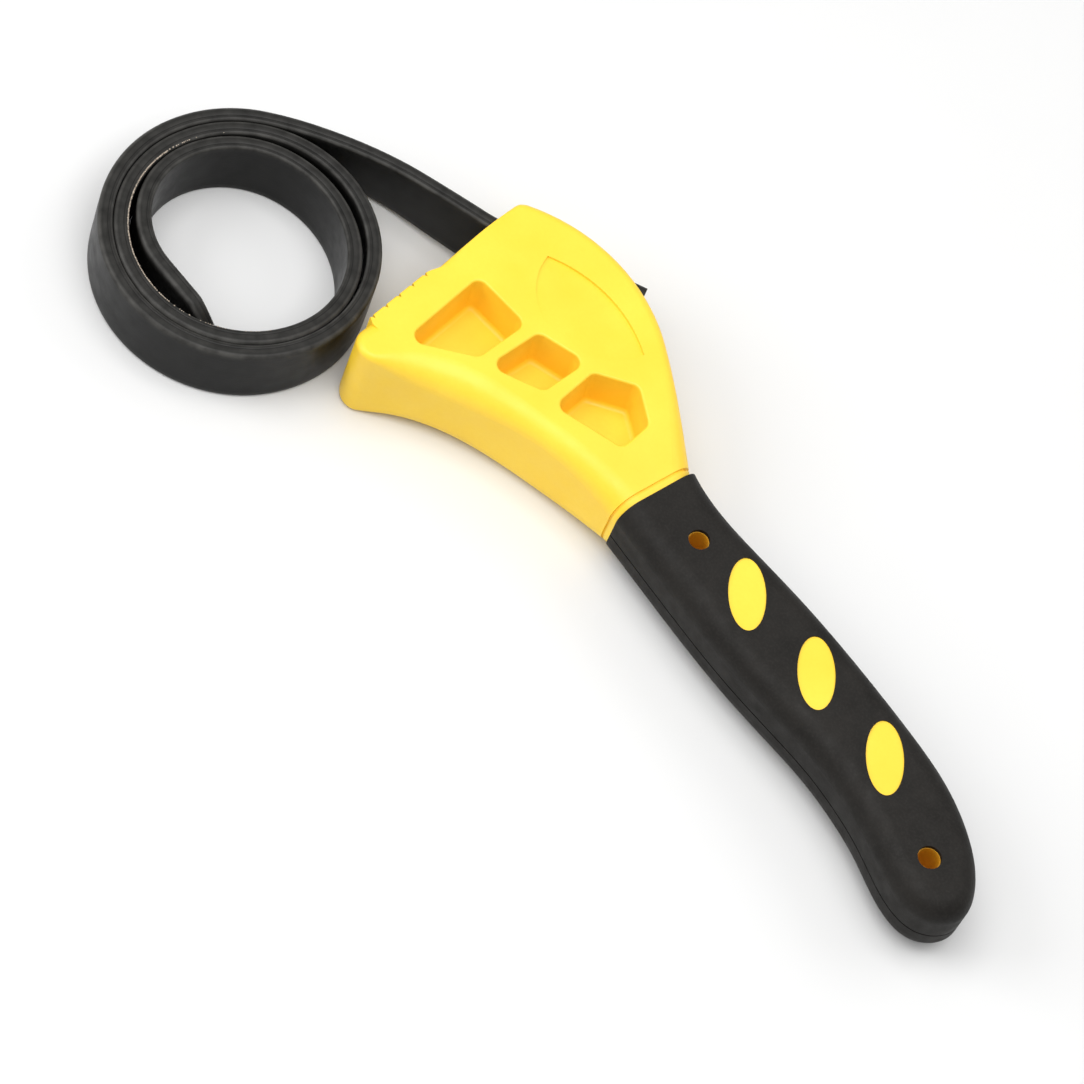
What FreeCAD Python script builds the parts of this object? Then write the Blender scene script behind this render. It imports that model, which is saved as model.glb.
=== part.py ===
import FreeCAD, Part
import math
import os
import Sketcher

# Rubber strap oil filter wrench, in millimetres, +Z up.
# The handle lies along X: the head is at -X, the grip at +X, and the neck is on the X axis.
# The head's flat underside and the bottom edge of the coiled strap lie on the plane Z = 0.
# The origin is on the head's underside, on the neck's axis, clear of its pockets and hollow.

SIZES = {
    # head, seen from above
    "head_thickness": 30.0,
    "cut_beyond": 10.0,          # open cuts go on this far past the material
    "jaw_x": -27.4,              # a point on the flat working face
    "jaw_y": 14.5,
    "jaw_lean": 10.4,            # degrees that the working face leans away from the Y axis
    "back_centre_x": 8.2,        # the round back of the head
    "back_centre_y": -22.1,
    "back_radius": 55.3,
    "back_slope": 24.0,          # degrees; the back runs on straight to the neck at this slope
    "throat_centre_x": 78.4,     # the hollow side between the jaw and the neck
    "throat_centre_y": -131.4,
    "throat_radius": 118.4,
    "throat_slope": 42.3,        # degrees; slope of the hollow side where it meets the jaw's corner
    "nose_rounding": 4.0,
    "toe_rounding": 6.4,
    "neck_end_x": 65.9,
    "neck_taper_x": 33.0,        # the faces begin to draw in here
    "neck_thinning": 3.5,        # and have drawn in this much at the end of the neck
    # edge roundings of the head, which grow from the jaw to the neck
    "jaw_edge": 2.0,
    "jaw_edge_reach": 2.7,       # as far as this from the working face
    "toe_edge": 4.0,
    "back_edge": 3.0,
    "throat_edge": 4.5,
    "throat_edge_x": -5.0,       # the hollow side's rounding grows from here on
    "neck_edge": 7.5,
    # toothed pad of the jaw
    "tooth_pad_stand": 0.9,
    "tooth_pad_root": 4.7,       # the pad begins this deep in the head, level with its faces
    "tooth_pad_set_back": 1.2,   # each end's outer corner is this deep in the head
    "tooth_pad_high_y": -13.0,
    "tooth_pad_low_y": -42.2,
    "tooth_pad_high_ramp": 6.0,  # the pad's ends rise over these lengths
    "tooth_pad_low_ramp": 1.2,
    "tooth_pad_edge": 0.8,
    "notch_pitch": 5.3,
    "notch_count": 5,
    "notch_width": 1.4,
    "notch_depth": 1.4,
    "first_notch_y": -19.5,
    # lightening pockets, the same in both faces
    "pocket_depth": 13.5,
    "pocket_draft": 3.0,
    "pocket_corner": 2.8,
    "pocket_floor_rounding": 1.5,
    "pocket_rim_rounding": 0.7,
    # shallow leaf-shaped hollow in both faces
    "leaf_left_x": -9.5,
    "leaf_left_y": 15.0,
    "leaf_top_x": 13.0,
    "leaf_top_y": 23.0,
    "leaf_right_x": 30.0,
    "leaf_right_y": 20.3,
    "leaf_depth": 0.9,
    "leaf_run_out": 16.0,
    # neck collar
    "collar_groove_x": 63.4,
    "collar_groove_width": 0.8,
    "collar_groove_depth": 0.6,
    # strap
    "strap_width": 22.0,
    "strap_thickness": 4.4,
    "cord_ply": 0.6,
    "inner_ply": 0.9,            # the rubber between the cords and the strap's inner face
    "strap_lift": 4.0,           # height of the strap's lower edge inside the head
    "mouth_x": -26.5,            # outer face of the strap where it leaves the working face
    "mouth_y": 13.25,
    "root_slope": 31.9,          # degrees, inside the head
    "root_length": 44.7,         # from the mouth to the strap's end behind the head
    "root_reach": 3.0,           # the strap keeps this slope a little way out of the mouth
    "run_slope": 21.0,           # degrees, outside the head
    "run_straight": 23.8,
    "run_radius": 103.7,
    "run_turn": 18.0,
    "coil_lead_turn": 9.0,       # the coil's length begins on the run's wide bend
    "coil_radius": 40.9,
    "coil_gap": 0.15,            # between one turn and the next
    "coil_half_turns": 4,
    "tip_radius": 27.6,
    "tip_lead_turn": 25.0,       # the coil's length ends on the tip's tight bend
    "tip_turn": 70.0,
    "tip_straight": 20.4,
    "flex_gap": 2.4,             # between two lengths of strap that bend about a hinge line
    # lanes for the strap in the head
    "lane_clearance": 0.15,
    "lane_divider": 2.5,
    "return_lane": 7.0,
    "lane_overrun": 30.0,        # both lanes are cut on past the head by this much
    # anchor pin
    "pin_radius": 2.0,
    "pin_distance": 21.9,        # from the mouth, along the strap
    "pin_reach": 2.2,            # beyond the strap's inner face
    "pin_length": 11.9,
    "pin_bore_overrun": 2.0,
    # tang and grip
    "tang_thickness": 16.0,
    "tang_low_y": -7.0,
    "tang_high_y": 9.0,
    "tang_end_x": 201.0,
    "tang_overlap": 1.0,         # the tang starts this far inside the neck
    "grip_thickness": 24.0,
    "grip_rounding": 6.5,
    "parting_line_z": 13.0,      # a fine groove round the grip, where its mould closes
    "parting_line_width": 0.5,
    "parting_line_depth": 0.35,
    "window_length": 22.6,
    "window_width": 10.9,
    "window_recess": 0.4,        # the oval pads end this far below the grip's faces
    "window_lean": -37.0,
    "window_one_x": 104.3,
    "window_one_y": 2.1,
    "window_two_x": 133.5,
    "window_two_y": 4.4,
    "window_three_x": 163.7,
    "window_three_y": 5.4,
    "front_hole_x": 84.0,
    "front_hole_y": 0.4,
    "front_hole_radius": 3.1,
    "rear_hole_x": 193.6,
    "rear_hole_y": -2.2,
    "rear_hole_radius": 3.4,
    "boss_wall": 1.7,            # round each support hole, the tang has a boss
    "boss_cover": 1.3,           # the grip's thickness over a boss
    "boss_hole_depth": 10.0,
    "boss_hole_step": 0.2,       # the boss's hole is this much smaller than the grip's
}

# Rims of the lightening pockets, as (x, y) corners.
POCKETS = (
    ((-13.5, -6.5), (5.4, -3.7), (7.4, -21.4), (-7.2, -36.9)),
    ((9.5, -2.0), (23.8, 4.4), (25.3, -11.6), (11, -20.9)),
    ((27.5, 4.0), (37.5, 13.0), (48.5, 8.5), (50.5, -2.4), (30.6, -12.0)),
)

# The grip's outline as (x, y) points, from the neck round the butt and back.
GRIP_BACK = (
    (65.9, 14.3), (77, 13.2), (95, 14.7), (115, 17.1), (135, 18.4),
    (160, 18.9), (180, 17.6), (195, 13.2), (206, 6.4),
)
GRIP_BUTT = (211.4, -3.0)
GRIP_FRONT = (
    (206.8, -11.6), (194.5, -14.1), (179.5, -11.2), (165, -9.5), (153, -9.4),
    (139, -10.7), (121, -12.6), (100, -13.5), (65.9, -13.7),
)

UP = FreeCAD.Vector(0, 0, 1)
document = FreeCAD.newDocument("StrapWrench")
sheet = document.addObject("Spreadsheet::Sheet", "Sizes")
for row, (alias, value) in enumerate(SIZES.items(), start=1):
    sheet.set("A%d" % row, alias)
    sheet.set("B%d" % row, str(value))
    sheet.setAlias("B%d" % row, alias)
document.recompute()


def size(alias):
    """The number in the sheet's cell of that name."""
    return float(sheet.get(alias))


def at(x, y, z=0.0):
    return FreeCAD.Vector(x, y, z)


def polar(centre, radius, angle):
    """The point at an angle, in degrees, on a circle."""
    turn = math.radians(angle)
    return centre + at(radius * math.cos(turn), radius * math.sin(turn))


def angle_of(vector):
    return math.degrees(math.atan2(vector.y, vector.x))


# ---------------------------------------------------------------- outlines

def line(start, end):
    """A straight stretch of an outline: its curve and the numbers of its two ends."""
    return Part.LineSegment(start, end), 1, 2


def arc(centre, radius, first, last):
    """A round stretch from one angle to another, either way round."""
    low, high = sorted((first, last))
    curve = Part.ArcOfCircle(Part.Circle(centre, UP, radius), math.radians(low), math.radians(high))
    return (curve, 1, 2) if first < last else (curve, 2, 1)


def arc_through(start, on_the_way, end):
    """A round stretch through three points, turning left."""
    circle = Part.Circle(start, on_the_way, end)
    first = angle_of(start - circle.Center)
    turn = (angle_of(end - circle.Center) - first) % 360
    return arc(circle.Center, circle.Radius, first, first + turn)


def draw(sketch, pieces):
    """Put one closed outline in a sketch, each stretch joined to the next."""
    first = sketch.GeometryCount
    for curve, _, _ in pieces:
        sketch.addGeometry(curve, False)
    for number, (_, _, end) in enumerate(pieces):
        following = (number + 1) % len(pieces)
        start = pieces[following][1]
        meeting = Sketcher.Constraint("Coincident", first + number, end, first + following, start)
        sketch.addConstraint(meeting)


def polygon(corners):
    """The straight stretches round a list of corners."""
    return [line(corner, corners[number - len(corners) + 1]) for number, corner in enumerate(corners)]


def rounded_polygon(corners, radius):
    """The stretches round a list of outward corners, each corner rounded."""
    bends = []
    for number, corner in enumerate(corners):
        back = (corners[number - 1] - corner).normalize()
        ahead = (corners[number + 1 - len(corners)] - corner).normalize()
        half = back.getAngle(ahead) / 2
        centre = corner + (back + ahead).normalize() * (radius / math.sin(half))
        start = corner + back * (radius / math.tan(half))
        end = corner + ahead * (radius / math.tan(half))
        first = angle_of(start - centre)
        turn = (angle_of(end - centre) - first + 180) % 360 - 180
        bends.append((arc(centre, radius, first, first + turn), start, end))
    pieces = []
    for number, (bend, _, end) in enumerate(bends):
        pieces.append(bend)
        pieces.append(line(end, bends[number + 1 - len(bends)][1]))
    return pieces


# ---------------------------------------------------------------- features

def new_body(label):
    body = document.addObject("PartDesign::Body", label)
    body.Label = label
    return body


def new_sketch(body, name, plane="XY_Plane", shift="0", base=None, turn=None):
    """A sketch on one of its body's own planes, moved along the plane's normal by an expression."""
    sketch = body.newObject("Sketcher::SketchObject", name)
    support = [item for item in body.Origin.OriginFeatures if item.Role == plane][0]
    sketch.AttachmentSupport = [(support, "")]
    sketch.MapMode = "FlatFace"
    sketch.AttachmentOffset = FreeCAD.Placement(base or at(0, 0), turn or FreeCAD.Rotation())
    sketch.setExpression(".AttachmentOffset.Base.z", shift)
    return sketch


def volume(body):
    document.recompute()
    return body.Shape.Volume


def pad(body, sketch, length):
    """Add a prism on a sketch, upwards by an expression."""
    before = volume(body) if body.Tip and body.Tip != sketch else 0.0
    feature = body.newObject("PartDesign::Pad", sketch.Name + "_pad")
    feature.Profile = sketch
    feature.setExpression("Length", length)
    body.Tip = feature
    if volume(body) <= before:
        raise ValueError(sketch.Name + " adds nothing")
    return feature


def pocket(body, sketch, length, upwards, draft=None):
    """Cut a prism on a sketch, up or down its normal by an expression."""
    before = volume(body)
    feature = body.newObject("PartDesign::Pocket", sketch.Name + "_pocket")
    feature.Profile = sketch
    feature.setExpression("Length", length)
    feature.Reversed = upwards
    if draft:
        feature.setExpression("TaperAngle", draft)
    body.Tip = feature
    if volume(body) >= before:
        raise ValueError(sketch.Name + " cuts nothing")
    return feature


def fillet(body, radius, wanted, name):
    """Round the edges of a body that a test picks out."""
    document.recompute()
    base = body.Tip
    picked = ["Edge%d" % number for number, edge in enumerate(base.Shape.Edges, start=1) if wanted(edge)]
    feature = body.newObject("PartDesign::Fillet", name)
    feature.Base = (base, picked)
    feature.setExpression("Radius", radius)
    body.Tip = feature
    document.recompute()
    if not picked or "Invalid" in feature.State:
        raise ValueError("%s rounds %d edges: %s" % (name, len(picked), feature.State))
    return feature


def middle(edge):
    return edge.valueAt((edge.FirstParameter + edge.LastParameter) / 2)


def spots_of(edge):
    """Both ends and the middle of an edge."""
    return [edge.valueAt(edge.FirstParameter), middle(edge), edge.valueAt(edge.LastParameter)]


def surrounds(corners, point, margin=0.1):
    """Whether a point lies inside a clockwise polygon, or just outside it."""
    for number, (x, y) in enumerate(corners):
        next_x, next_y = corners[number + 1 - len(corners)]
        length = math.hypot(next_x - x, next_y - y)
        if ((next_x - x) * (point.y - y) - (next_y - y) * (point.x - x)) / length > margin:
            return False
    return True


def upright_at(edge, x, y):
    """Whether an edge is vertical and stands near a point."""
    ends = [vertex.Point for vertex in edge.Vertexes]
    if len(ends) < 2:
        return False
    return all(math.hypot(end.x - x, end.y - y) < 0.5 for end in ends) and abs(ends[0].z - ends[1].z) > 1


# ---------------------------------------------------------------- head

def jaw_x_at(y):
    """The working face's X at a given Y."""
    return size("jaw_x") + (size("jaw_y") - y) * math.tan(math.radians(size("jaw_lean")))


def circle_meets_jaw(centre, radius):
    """Where the head's round back meets the working face, seen from above."""
    lean = math.radians(size("jaw_lean"))
    along = at(-math.sin(lean), math.cos(lean))
    start = at(size("jaw_x"), size("jaw_y"))
    offset = start - centre
    half = offset.dot(along)
    distance = -half + math.sqrt(half ** 2 - offset.dot(offset) + radius ** 2)
    return start + along * distance


def back_y_at(x):
    """The Y of the straight part of the head's back, which runs on to the neck."""
    centre = at(size("back_centre_x"), size("back_centre_y"))
    tangent = polar(centre, size("back_radius"), 90 - size("back_slope"))
    return tangent.y - (x - tangent.x) * math.tan(math.radians(size("back_slope")))


def throat_y_at(x):
    """The Y of the head's hollow side."""
    rise = size("throat_radius") ** 2 - (x - size("throat_centre_x")) ** 2
    return size("throat_centre_y") + math.sqrt(rise)


def head_outline():
    """The head and neck from above, with the nose and the toe still sharp."""
    back = at(size("back_centre_x"), size("back_centre_y"))
    throat = at(size("throat_centre_x"), size("throat_centre_y"))
    nose = circle_meets_jaw(back, size("back_radius"))
    back_end = 90 - size("back_slope")
    throat_end = 90 + size("throat_slope")
    back_tangent = polar(back, size("back_radius"), back_end)
    throat_tangent = polar(throat, size("throat_radius"), throat_end)
    end_x = size("neck_end_x")
    neck_back = at(end_x, back_y_at(end_x))
    neck_front = at(end_x, throat_y_at(end_x))

    # The toe is where the hollow side, run on straight, meets the working face.
    slope = math.tan(math.radians(size("throat_slope")))
    lean = math.tan(math.radians(size("jaw_lean")))
    overhang = jaw_x_at(throat_tangent.y) - throat_tangent.x
    reach = overhang / (1 + lean * slope)
    toe = throat_tangent + at(reach, slope * reach)
    outline = [
        arc(back, size("back_radius"), angle_of(nose - back), back_end),
        line(back_tangent, neck_back),
        line(neck_back, neck_front),
        arc(throat, size("throat_radius"), angle_of(neck_front - throat), throat_end),
        line(throat_tangent, toe),
        line(toe, nose),
    ]
    return outline, nose, toe


def taper_radius():
    """Radius of the two round faces that thin the neck."""
    run, drop = size("neck_end_x") - size("neck_taper_x"), size("neck_thinning")
    return (run ** 2 + drop ** 2) / (2 * drop)


def taper_drop_at(x):
    """How far each face has drawn in at a point of the neck."""
    radius = taper_radius()
    return radius - math.sqrt(radius ** 2 - (x - size("neck_taper_x")) ** 2)


def head_blank():
    """The head and neck as one block: outline, rounded corners, thinner at the neck."""
    body = new_body("head_blank")
    outline, nose, toe = head_outline()
    plan = new_sketch(body, "head_plan")
    draw(plan, outline)
    pad(body, plan, "Sizes.head_thickness")
    fillet(body, "Sizes.nose_rounding", lambda edge: upright_at(edge, nose.x, nose.y), "nose")
    fillet(body, "Sizes.toe_rounding", lambda edge: upright_at(edge, toe.x, toe.y), "toe")

    side = new_sketch(body, "neck_side", plane="XZ_Plane", shift="-2 * Sizes.head_thickness")
    start, end, drop = size("neck_taper_x"), size("neck_end_x"), size("neck_thinning")
    radius, waste = taper_radius(), size("cut_beyond")
    sweep = math.degrees(math.asin((end - start) / radius))
    top = size("head_thickness")
    draw(side, [
        arc(at(start, top - radius), radius, 90, 90 - sweep),
        line(at(end, top - drop), at(end, top + waste)),
        line(at(end, top + waste), at(start, top + waste)),
        line(at(start, top + waste), at(start, top)),
    ])
    draw(side, [
        arc(at(start, radius), radius, 270, 270 + sweep),
        line(at(end, drop), at(end, -waste)),
        line(at(end, -waste), at(start, -waste)),
        line(at(start, -waste), at(start, 0)),
    ])
    pocket(body, side, "4 * Sizes.head_thickness", upwards=True)
    return body


def edge_radius(point):
    """Rounding of the head's top and bottom edges at a point of its outline."""
    from_jaw = point.x - jaw_x_at(point.y)
    if from_jaw < size("jaw_edge_reach"):
        return size("jaw_edge")
    if point.y < 0 and from_jaw < 2 * size("toe_rounding"):
        return size("toe_edge")
    if point.y > 0:
        start_x, start_radius = size("neck_taper_x"), size("back_edge")
    else:
        start_x, start_radius = size("throat_edge_x"), size("throat_edge")
    along = max(0.0, (point.x - start_x) / (size("neck_end_x") - start_x))
    return start_radius + (size("neck_edge") - start_radius) * along


def head_rounded(blank):
    """The blank with its top and bottom edges rounded, more and more towards the neck."""
    low = size("neck_thinning") + size("jaw_edge") / 2
    high = size("head_thickness") - low
    edges = []
    for number, edge in enumerate(blank.Shape.Edges, start=1):
        ends = [edge.valueAt(edge.FirstParameter), edge.valueAt(edge.LastParameter)]
        on_rim = all(end.z < low for end in ends) or all(end.z > high for end in ends)
        across = abs(ends[0].x - ends[1].x) < 0.01
        if on_rim and not across:
            edges.append((number, edge_radius(ends[0]), edge_radius(ends[1])))
    rounded = document.addObject("Part::Fillet", "head_rounded")
    rounded.Base = blank
    rounded.Edges = edges
    document.recompute()
    return rounded


# ---------------------------------------------------------------- strap route

class Route:
    """The strap's outer face seen from above, as stretches that follow one another."""

    def __init__(self, start, heading):
        self.point = start
        self.heading = heading
        self.stretches = []

    def straight(self, length):
        end = polar(self.point, length, self.heading)
        self.stretches.append(("straight", self.point, end, self.heading))
        self.point = end
        return self

    def turn(self, radius, angle):
        """Turn left on a circle of the given outer radius."""
        centre = polar(self.point, radius, self.heading + 90)
        first = self.heading - 90
        self.stretches.append(("turn", centre, radius, first, first + angle))
        self.point = polar(centre, radius, first + angle)
        self.heading += angle
        return self


def face(stretch, depth):
    """One stretch of the face that lies a depth inside the outer face."""
    if stretch[0] == "straight":
        _, start, end, heading = stretch
        inward = polar(at(0, 0), depth, heading + 90)
        return line(start + inward, end + inward), start + inward, end + inward
    _, centre, radius, first, last = stretch
    inner = radius - depth
    return arc(centre, inner, first, last), polar(centre, inner, first), polar(centre, inner, last)


def reversed_piece(piece):
    curve, start, end = piece
    return curve, end, start


def ribbon(stretches, outer_depth, inner_depth):
    """The closed outline of one ply along a list of stretches."""
    outer = [face(stretch, outer_depth) for stretch in stretches]
    inner = [face(stretch, inner_depth) for stretch in stretches]
    outline = [piece for piece, _, _ in outer]
    outline.append(line(outer[-1][2], inner[-1][2]))
    outline.extend(reversed_piece(piece) for piece, _, _ in reversed(inner))
    outline.append(line(inner[0][1], outer[0][1]))
    return outline


def trim(stretches, start, end):
    """Shorten a chain of stretches at its two ends."""
    trimmed = list(stretches)
    if trimmed[0][0] == "straight":
        _, first, last, heading = trimmed[0]
        trimmed[0] = ("straight", polar(first, start, heading), last, heading)
    else:
        _, centre, radius, first, last = trimmed[0]
        trimmed[0] = ("turn", centre, radius, first + math.degrees(start / radius), last)
    if trimmed[-1][0] == "straight":
        _, first, last, heading = trimmed[-1]
        trimmed[-1] = ("straight", first, polar(last, -end, heading), heading)
    else:
        _, centre, radius, first, last = trimmed[-1]
        trimmed[-1] = ("turn", centre, radius, first, last - math.degrees(end / radius))
    return trimmed


def strap_lengths():
    """The strap's four lengths: root in the head, run to the coil, coil, and free tip."""
    mouth = at(size("mouth_x"), size("mouth_y"))
    inside = 180 + size("root_slope")
    tail = polar(mouth, -size("root_length"), inside)
    root = Route(tail, inside).straight(size("root_length") + size("root_reach"))
    run = Route(root.point, 180 + size("run_slope"))
    run.straight(size("run_straight")).turn(size("run_radius"), size("run_turn"))

    pitch = size("strap_thickness") + size("coil_gap")
    coil = Route(run.point, run.heading).turn(size("run_radius"), size("coil_lead_turn"))
    coil.turn(size("coil_radius") + pitch / 2, 270 - coil.heading)
    for half_turn in range(int(size("coil_half_turns"))):
        coil.turn(size("coil_radius") - half_turn * pitch / 2, 180)
    coil.turn(size("tip_radius"), size("tip_lead_turn"))
    tip = Route(coil.point, coil.heading)
    tip.turn(size("tip_radius"), size("tip_turn")).straight(size("tip_straight"))

    half_gap = size("flex_gap") / 2
    return {
        "root": trim(root.stretches, 0, half_gap),
        "run": trim(run.stretches, half_gap, half_gap),
        "coil": trim(coil.stretches, half_gap, half_gap),
        "tip": trim(tip.stretches, half_gap, 0),
    }


def lane_frame():
    """A point on the strap's outer face at the mouth, and the directions along and into the strap."""
    heading = 180 + size("root_slope")
    mouth = at(size("mouth_x"), size("mouth_y"))
    return mouth, polar(at(0, 0), -1, heading), polar(at(0, 0), 1, heading + 90)


def pin_placement():
    """Where the anchor pin starts, inside the head, and the way it points, out of the back."""
    mouth, along, inward = lane_frame()
    start = mouth + along * size("pin_distance") + inward * (size("strap_thickness") + size("pin_reach"))
    start.z = size("head_thickness") / 2
    return FreeCAD.Placement(start, FreeCAD.Rotation(UP, inward * -1))


def pin_hole(body, name, length):
    """Drill the anchor pin's hole through a body."""
    before = volume(body)
    hole = body.newObject("PartDesign::SubtractiveCylinder", name)
    hole.setExpression("Radius", "Sizes.pin_radius")
    hole.setExpression("Height", length)
    hole.Placement = pin_placement()
    body.Tip = hole
    if volume(body) >= before:
        raise ValueError(name + " cuts nothing")


# ---------------------------------------------------------------- handle

def cut_lanes(body):
    """The strap's own lane and the open lane that its free end comes back through."""
    mouth, along, inward = lane_frame()
    clearance, thickness = size("lane_clearance"), size("strap_thickness")
    near, far = -size("lane_overrun"), size("root_length") + size("lane_overrun")
    own = (-clearance, thickness + clearance)
    back = own[1] + size("lane_divider")
    for name, (low, high) in (("own_lane", own), ("return_lane", (back, back + size("return_lane")))):
        sketch = new_sketch(body, name, shift="Sizes.strap_lift - 2 * Sizes.lane_clearance")
        draw(sketch, polygon([
            mouth + along * near + inward * low,
            mouth + along * far + inward * low,
            mouth + along * far + inward * high,
            mouth + along * near + inward * high,
        ]))
        pocket(body, sketch, "Sizes.strap_width + 4 * Sizes.lane_clearance", upwards=True)


def cut_pockets(body):
    """Three drafted pockets in each face, rounded at the corners and the floor."""
    depth, thickness = size("pocket_depth"), size("head_thickness")
    for face_name, shift, upwards in (("top", "Sizes.head_thickness", False), ("bottom", "0", True)):
        for number, corners in enumerate(POCKETS, start=1):
            sketch = new_sketch(body, "%s_pocket_%d" % (face_name, number), shift=shift)
            draw(sketch, rounded_polygon([at(x, y) for x, y in corners], size("pocket_corner")))
            pocket(body, sketch, "Sizes.pocket_depth", upwards, draft="-Sizes.pocket_draft")

    def pocket_floor(edge):
        from_floor = [min(abs(spot.z - depth), abs(spot.z - thickness + depth)) for spot in spots_of(edge)]
        return max(from_floor) < 0.01

    def pocket_rim(edge):
        on_a_face = all(min(abs(spot.z), abs(spot.z - thickness)) < 0.01 for spot in spots_of(edge))
        return on_a_face and any(surrounds(corners, middle(edge)) for corners in POCKETS)

    fillet(body, "Sizes.pocket_floor_rounding", pocket_floor, "pocket_floors")
    fillet(body, "Sizes.pocket_rim_rounding", pocket_rim, "pocket_rims")


def jaw_teeth(body):
    """A raised pad on the lower half of the working face, with upright notches across it."""
    down_jaw = FreeCAD.Rotation(UP, size("jaw_lean") - 90)
    stand, root, set_back = size("tooth_pad_stand"), size("tooth_pad_root"), size("tooth_pad_set_back")
    high_ramp, low_ramp = size("tooth_pad_high_ramp"), size("tooth_pad_low_ramp")
    high_y, low_y, thickness = size("tooth_pad_high_y"), size("tooth_pad_low_y"), size("head_thickness")
    length = (high_y - low_y) / math.cos(math.radians(size("jaw_lean")))
    start = at(jaw_x_at(high_y), high_y)
    plate = new_sketch(body, "tooth_pad", base=start, turn=down_jaw)
    draw(plate, polygon([
        at(-stand, root),
        at(0, set_back),
        at(high_ramp, -stand),
        at(length - low_ramp, -stand),
        at(length, set_back),
        at(length, root),
    ]))
    pad(body, plate, "Sizes.head_thickness")

    def pad_rim(edge):
        spot = middle(edge)
        on_a_face = all(min(abs(point.z), abs(point.z - thickness)) < 0.01 for point in spots_of(edge))
        return on_a_face and jaw_x_at(spot.y) - spot.x > stand / 2

    fillet(body, "Sizes.tooth_pad_edge", pad_rim, "tooth_pad_rims")

    half, first_y = size("notch_width") / 2, size("first_notch_y")
    sketch = new_sketch(body, "jaw_notch", base=at(jaw_x_at(first_y), first_y), turn=down_jaw)
    draw(sketch, polygon([
        at(-half, -stand),
        at(-half, -2 * stand),
        at(half, -2 * stand),
        at(half, -stand),
        at(0, size("notch_depth") - stand),
    ]))
    notch = pocket(body, sketch, "Sizes.head_thickness", upwards=True)
    before = volume(body)
    row = body.newObject("PartDesign::LinearPattern", "jaw_notches")
    row.Originals = [notch]
    row.Direction = (sketch, ["H_Axis"])
    row.setExpression("Length", "Sizes.notch_pitch * (Sizes.notch_count - 1)")
    row.setExpression("Occurrences", "Sizes.notch_count")
    body.Tip = row
    if volume(body) >= before:
        raise ValueError("the notches are missing")


def cut_leaf(body):
    """A shallow hollow in each face: deepest at its round upper edge, running out below."""
    left = at(size("leaf_left_x"), size("leaf_left_y"))
    top = at(size("leaf_top_x"), size("leaf_top_y"))
    right = at(size("leaf_right_x"), size("leaf_right_y"))
    along = (right - left).normalize()
    across = at(-along.y, along.x)
    foot = (left + right) * 0.5 - across * size("leaf_run_out")

    def local(point):
        """A point in a frame that lies along the leaf, with its origin at the leaf's foot."""
        return at((point - foot).dot(along), (point - foot).dot(across))

    outline = [
        arc_through(local(right), local(top), local(left)),
        arc_through(local(left), at(0, 0), local(right)),
    ]
    tilt = math.degrees(math.atan(size("leaf_depth") / local(top).y))
    for side, shift, lean in (("top", "Sizes.head_thickness", -tilt), ("bottom", "0", tilt)):
        turn = FreeCAD.Rotation(UP, angle_of(along)).multiply(FreeCAD.Rotation(at(1, 0), lean))
        sketch = new_sketch(body, side + "_leaf", shift=shift, base=foot, turn=turn)
        draw(sketch, outline)
        pocket(body, sketch, "3 * Sizes.leaf_depth", upwards=side == "top")


def collar_groove(body):
    """A narrow groove round the end of the neck, which leaves a lip in front of the grip."""
    centre_x = size("collar_groove_x") + size("collar_groove_width") / 2
    depth = size("collar_groove_depth")
    low = taper_drop_at(centre_x) + depth
    high = size("head_thickness") - low
    front, back = throat_y_at(centre_x) + depth, back_y_at(centre_x) - depth

    def rectangle(margin):
        return [
            at(front - margin, low - margin),
            at(back + margin, low - margin),
            at(back + margin, high + margin),
            at(front - margin, high + margin),
        ]

    sketch = new_sketch(body, "collar_section", plane="YZ_Plane", shift="Sizes.collar_groove_x")
    draw(sketch, polygon(rectangle(size("cut_beyond"))))
    draw(sketch, rounded_polygon(rectangle(0), size("neck_edge") - depth))
    pocket(body, sketch, "Sizes.collar_groove_width", upwards=True)


def tang_sketch(body, name):
    """The tang from above, from just inside the neck to its round end."""
    low, high, start = size("tang_low_y"), size("tang_high_y"), size("neck_end_x") - size("tang_overlap")
    half = (high - low) / 2
    straight_end = size("tang_end_x") - half
    sketch = new_sketch(body, name, shift="(Sizes.head_thickness - Sizes.tang_thickness) / 2")
    draw(sketch, [
        line(at(start, low), at(straight_end, low)),
        arc(at(straight_end, low + half), half, -90, 90),
        line(at(straight_end, high), at(start, high)),
        line(at(start, high), at(start, low)),
    ])
    return sketch


def hole_sketch(body, name, height, growth):
    """Circles round the two support holes, at a height above the grip's lower face."""
    sketch = new_sketch(body, name, shift="(Sizes.head_thickness - Sizes.grip_thickness) / 2 + " + height)
    for place in ("front", "rear"):
        centre = at(size(place + "_hole_x"), size(place + "_hole_y"))
        sketch.addGeometry(Part.Circle(centre, UP, size(place + "_hole_radius") + growth), False)
    return sketch


def tang(body):
    """The core that runs through the grip, with oval pads and two bosses that reach its faces."""
    pad(body, tang_sketch(body, "tang_plan"), "Sizes.tang_thickness")
    pads = window_sketch(body, "oval_pads", "Sizes.window_recess")
    pad(body, pads, "Sizes.grip_thickness - 2 * Sizes.window_recess")
    bosses = hole_sketch(body, "bosses", "Sizes.boss_cover", size("boss_wall"))
    pad(body, bosses, "Sizes.grip_thickness - 2 * Sizes.boss_cover")
    ends = (
        ("lower", "Sizes.boss_cover", True),
        ("upper", "Sizes.grip_thickness - Sizes.boss_cover", False),
    )
    for side, height, upwards in ends:
        holes = hole_sketch(body, side + "_boss_holes", height, -size("boss_hole_step"))
        pocket(body, holes, "Sizes.boss_hole_depth", upwards)


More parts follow.
